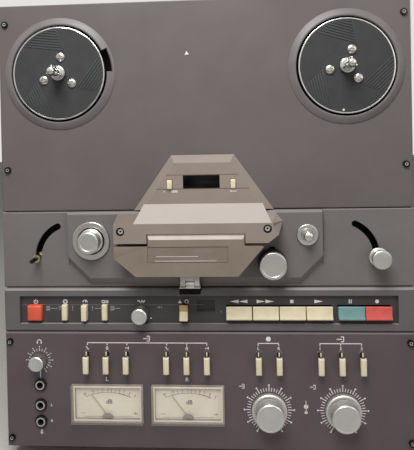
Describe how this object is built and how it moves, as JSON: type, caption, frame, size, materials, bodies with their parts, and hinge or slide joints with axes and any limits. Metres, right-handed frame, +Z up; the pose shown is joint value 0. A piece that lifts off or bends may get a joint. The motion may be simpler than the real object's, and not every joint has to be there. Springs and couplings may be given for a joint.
{
  "type": "reel-to-reel tape recorder",
  "caption": "Upright reel-to-reel tape recorder with reel tables, tension arms, covered tape heads, transport keys, level meters and concentric level knobs.",
  "frame": {"origin": "middle of the footprint, on the surface that the feet stand on", "axes": "+X to the viewer's right, +Y from the front panels into the case, +Z up"},
  "size_m": [0.41, 0.257, 0.461],
  "materials": {
    "case_paint": "matt paint",
    "frame_steel": "plated",
    "panel_paint": "satin paint",
    "strip_plastic": "matt",
    "amp_paint": "satin paint",
    "cover_paint": "satin paint",
    "satin_metal": "satin",
    "ring_plastic": "satin",
    "dial_plastic": "matt",
    "clear": "clear plastic",
    "socket_metal": "plated",
    "black_steel": "blackened",
    "rubber": "matt",
    "motor_iron": "painted",
    "electronics_mix": "mixed parts",
    "table_alloy": "satin",
    "key_cream": "satin",
    "red_plastic": "satin",
    "teal_plastic": "satin"
  },
  "bodies": {
    "deck": {"case_tub": "case_paint", "chassis_frame": "frame_steel", "reel_panel": "panel_paint", "transport_panel": "panel_paint", "control_strip": "strip_plastic", "amp_panel": "amp_paint", "head_cover": "cover_paint", "heads_and_guides": "satin_metal", "reel_rings": "ring_plastic", "meter_bodies": "dial_plastic", "clear_windows": "clear", "sockets": "socket_metal", "panel_screws": "black_steel", "feet": "rubber", "drive_motors": "motor_iron", "electronics": "electronics_mix"},
    "left_reel_table": {"left_reel_table": "table_alloy"},
    "left_spindle_lock": {"left_spindle_lock": "satin_metal"},
    "right_reel_table": {"right_reel_table": "table_alloy"},
    "right_spindle_lock": {"right_spindle_lock": "satin_metal"},
    "left_tension_arm": {"left_tension_arm": "frame_steel"},
    "right_tension_arm": {"right_tension_arm": "frame_steel"},
    "tension_roller": {"tension_roller": "table_alloy"},
    "impedance_roller": {"impedance_roller": "table_alloy"},
    "capstan": {"capstan": "frame_steel"},
    "pinch_arm": {"pinch_arm": "frame_steel"},
    "pinch_roller": {"pinch_roller": "rubber"},
    "head_lid": {"head_lid": "cover_paint"},
    "power_button": {"power_button": "red_plastic"},
    "reel_size_key": {"reel_size_key": "key_cream"},
    "speed_key": {"speed_key": "key_cream"},
    "edit_key": {"edit_key": "key_cream"},
    "pitch_knob": {"pitch_knob": "table_alloy"},
    "cue_lever": {"cue_lever": "key_cream"},
    "zero_button": {"zero_button": "key_cream"},
    "reset_button": {"reset_button": "key_cream"},
    "rewind_key": {"rewind_key": "key_cream"},
    "forward_key": {"forward_key": "key_cream"},
    "stop_key": {"stop_key": "key_cream"},
    "play_key": {"play_key": "key_cream"},
    "pause_key": {"pause_key": "teal_plastic"},
    "record_key": {"record_key": "red_plastic"},
    "left_input_key_1": {"left_input_key_1": "key_cream"},
    "left_input_key_2": {"left_input_key_2": "key_cream"},
    "left_input_key_3": {"left_input_key_3": "key_cream"},
    "right_input_key_1": {"right_input_key_1": "key_cream"},
    "right_input_key_2": {"right_input_key_2": "key_cream"},
    "right_input_key_3": {"right_input_key_3": "key_cream"},
    "record_mode_key_1": {"record_mode_key_1": "key_cream"},
    "record_mode_key_2": {"record_mode_key_2": "key_cream"},
    "output_key_1": {"output_key_1": "key_cream"},
    "output_key_2": {"output_key_2": "key_cream"},
    "output_key_3": {"output_key_3": "key_cream"},
    "phones_knob": {"phones_knob": "table_alloy"},
    "input_knob_cap": {"input_knob_cap": "table_alloy"},
    "input_knob_ring": {"input_knob_ring": "table_alloy"},
    "output_knob_cap": {"output_knob_cap": "table_alloy"},
    "output_knob_ring": {"output_knob_ring": "table_alloy"},
    "left_needle": {"left_needle": "black_steel"},
    "right_needle": {"right_needle": "black_steel"}
  },
  "joints": [
    {"name": "left_reel_spin", "type": "hinge", "parent": "deck", "child": "left_reel_table", "pos_m": [-0.1423, -0.1005, 0.391], "axis": [0, 1, 0], "continuous": true},
    {"name": "left_spindle_turn", "type": "hinge", "parent": "left_reel_table", "child": "left_spindle_lock", "pos_m": [-0.1423, -0.1005, 0.391], "axis": [0, 1, 0], "range_deg": [0, 60]},
    {"name": "right_reel_spin", "type": "hinge", "parent": "deck", "child": "right_reel_table", "pos_m": [0.1423, -0.1005, 0.391], "axis": [0, 1, 0], "continuous": true},
    {"name": "right_spindle_turn", "type": "hinge", "parent": "right_reel_table", "child": "right_spindle_lock", "pos_m": [0.1423, -0.1005, 0.391], "axis": [0, 1, 0], "range_deg": [0, 60]},
    {"name": "left_arm_swing", "type": "hinge", "parent": "deck", "child": "left_tension_arm", "pos_m": [-0.1346, -0.1005, 0.2056], "axis": [0, 1, 0], "range_deg": [0, 66]},
    {"name": "right_arm_swing", "type": "hinge", "parent": "deck", "child": "right_tension_arm", "pos_m": [0.1346, -0.1005, 0.2056], "axis": [0, -1, 0], "range_deg": [0, 66]},
    {"name": "tension_roller_spin", "type": "hinge", "parent": "right_tension_arm", "child": "tension_roller", "pos_m": [0.1686, -0.1005, 0.2056], "axis": [0, 1, 0], "continuous": true},
    {"name": "impedance_roller_spin", "type": "hinge", "parent": "deck", "child": "impedance_roller", "pos_m": [-0.112, -0.1005, 0.2235], "axis": [0, 1, 0], "continuous": true},
    {"name": "capstan_spin", "type": "hinge", "parent": "deck", "child": "capstan", "pos_m": [0.063, -0.1005, 0.2301], "axis": [0, 1, 0], "continuous": true},
    {"name": "pinch_arm_swing", "type": "hinge", "parent": "deck", "child": "pinch_arm", "pos_m": [0.096, -0.1005, 0.2061], "axis": [0, 1, 0], "range_deg": [0, 21]},
    {"name": "pinch_roller_spin", "type": "hinge", "parent": "pinch_arm", "child": "pinch_roller", "pos_m": [0.0665, -0.1005, 0.2011], "axis": [0, 1, 0], "continuous": true},
    {"name": "lid_fold", "type": "hinge", "parent": "deck", "child": "head_lid", "pos_m": [-0.01275, -0.1215, 0.1848], "axis": [1, 0, 0], "range_deg": [0, 90]},
    {"name": "power_button_press", "type": "slide", "parent": "deck", "child": "power_button", "axis": [0, 1, 0], "range_m": [0, 0.002], "stiffness_N_per_m": 200},
    {"name": "reel_size_key_press", "type": "slide", "parent": "deck", "child": "reel_size_key", "axis": [0, 1, 0], "range_m": [0, 0.002], "stiffness_N_per_m": 200},
    {"name": "speed_key_press", "type": "slide", "parent": "deck", "child": "speed_key", "axis": [0, 1, 0], "range_m": [0, 0.002], "stiffness_N_per_m": 200},
    {"name": "edit_key_press", "type": "slide", "parent": "deck", "child": "edit_key", "axis": [0, 1, 0], "range_m": [0, 0.002], "stiffness_N_per_m": 200},
    {"name": "pitch_turn", "type": "hinge", "parent": "deck", "child": "pitch_knob", "pos_m": [-0.064, -0.1005, 0.1505], "axis": [0, 1, 0], "range_deg": [-150, 150]},
    {"name": "cue_lift", "type": "slide", "parent": "deck", "child": "cue_lever", "axis": [0, 0, 1], "range_m": [0, 0.005], "stiffness_N_per_m": 120},
    {"name": "zero_button_press", "type": "slide", "parent": "deck", "child": "zero_button", "axis": [0, 1, 0], "range_m": [0, 0.0012], "stiffness_N_per_m": 150},
    {"name": "reset_button_press", "type": "slide", "parent": "deck", "child": "reset_button", "axis": [0, 1, 0], "range_m": [0, 0.0012], "stiffness_N_per_m": 150},
    {"name": "rewind_key_press", "type": "slide", "parent": "deck", "child": "rewind_key", "axis": [0, 1, 0], "range_m": [0, 0.002], "stiffness_N_per_m": 250},
    {"name": "forward_key_press", "type": "slide", "parent": "deck", "child": "forward_key", "axis": [0, 1, 0], "range_m": [0, 0.002], "stiffness_N_per_m": 250},
    {"name": "stop_key_press", "type": "slide", "parent": "deck", "child": "stop_key", "axis": [0, 1, 0], "range_m": [0, 0.002], "stiffness_N_per_m": 250},
    {"name": "play_key_press", "type": "slide", "parent": "deck", "child": "play_key", "axis": [0, 1, 0], "range_m": [0, 0.002], "stiffness_N_per_m": 250},
    {"name": "pause_key_press", "type": "slide", "parent": "deck", "child": "pause_key", "axis": [0, 1, 0], "range_m": [0, 0.002], "stiffness_N_per_m": 250},
    {"name": "record_key_press", "type": "slide", "parent": "deck", "child": "record_key", "axis": [0, 1, 0], "range_m": [0, 0.002], "stiffness_N_per_m": 250},
    {"name": "left_input_key_1_press", "type": "slide", "parent": "deck", "child": "left_input_key_1", "axis": [0, 1, 0], "range_m": [0, 0.003], "stiffness_N_per_m": 200},
    {"name": "left_input_key_2_press", "type": "slide", "parent": "deck", "child": "left_input_key_2", "axis": [0, 1, 0], "range_m": [0, 0.003], "stiffness_N_per_m": 200},
    {"name": "left_input_key_3_press", "type": "slide", "parent": "deck", "child": "left_input_key_3", "axis": [0, 1, 0], "range_m": [0, 0.003], "stiffness_N_per_m": 200},
    {"name": "right_input_key_1_press", "type": "slide", "parent": "deck", "child": "right_input_key_1", "axis": [0, 1, 0], "range_m": [0, 0.003], "stiffness_N_per_m": 200},
    {"name": "right_input_key_2_press", "type": "slide", "parent": "deck", "child": "right_input_key_2", "axis": [0, 1, 0], "range_m": [0, 0.003], "stiffness_N_per_m": 200},
    {"name": "right_input_key_3_press", "type": "slide", "parent": "deck", "child": "right_input_key_3", "axis": [0, 1, 0], "range_m": [0, 0.003], "stiffness_N_per_m": 200},
    {"name": "record_mode_key_1_press", "type": "slide", "parent": "deck", "child": "record_mode_key_1", "axis": [0, 1, 0], "range_m": [0, 0.003], "stiffness_N_per_m": 200},
    {"name": "record_mode_key_2_press", "type": "slide", "parent": "deck", "child": "record_mode_key_2", "axis": [0, 1, 0], "range_m": [0, 0.003], "stiffness_N_per_m": 200},
    {"name": "output_key_1_press", "type": "slide", "parent": "deck", "child": "output_key_1", "axis": [0, 1, 0], "range_m": [0, 0.003], "stiffness_N_per_m": 200},
    {"name": "output_key_2_press", "type": "slide", "parent": "deck", "child": "output_key_2", "axis": [0, 1, 0], "range_m": [0, 0.003], "stiffness_N_per_m": 200},
    {"name": "output_key_3_press", "type": "slide", "parent": "deck", "child": "output_key_3", "axis": [0, 1, 0], "range_m": [0, 0.003], "stiffness_N_per_m": 200},
    {"name": "phones_turn", "type": "hinge", "parent": "deck", "child": "phones_knob", "pos_m": [-0.1682, -0.1005, 0.103], "axis": [0, 1, 0], "range_deg": [-150, 150]},
    {"name": "input_cap_turn", "type": "hinge", "parent": "deck", "child": "input_knob_cap", "pos_m": [0.0612, -0.1005, 0.0552], "axis": [0, 1, 0], "range_deg": [-150, 150]},
    {"name": "input_ring_turn", "type": "hinge", "parent": "deck", "child": "input_knob_ring", "pos_m": [0.0612, -0.1005, 0.0552], "axis": [0, 1, 0], "range_deg": [-150, 150]},
    {"name": "output_cap_turn", "type": "hinge", "parent": "deck", "child": "output_knob_cap", "pos_m": [0.1327, -0.1005, 0.0552], "axis": [0, 1, 0], "range_deg": [-150, 150]},
    {"name": "output_ring_turn", "type": "hinge", "parent": "deck", "child": "output_knob_ring", "pos_m": [0.1327, -0.1005, 0.0552], "axis": [0, 1, 0], "range_deg": [-150, 150]},
    {"name": "left_needle_swing", "type": "hinge", "parent": "deck", "child": "left_needle", "pos_m": [-0.0996, -0.1005, 0.047], "axis": [0, 1, 0], "range_deg": [0, 76]},
    {"name": "right_needle_swing", "type": "hinge", "parent": "deck", "child": "right_needle", "pos_m": [-0.0188, -0.1005, 0.047], "axis": [0, 1, 0], "range_deg": [0, 76]}
  ]
}
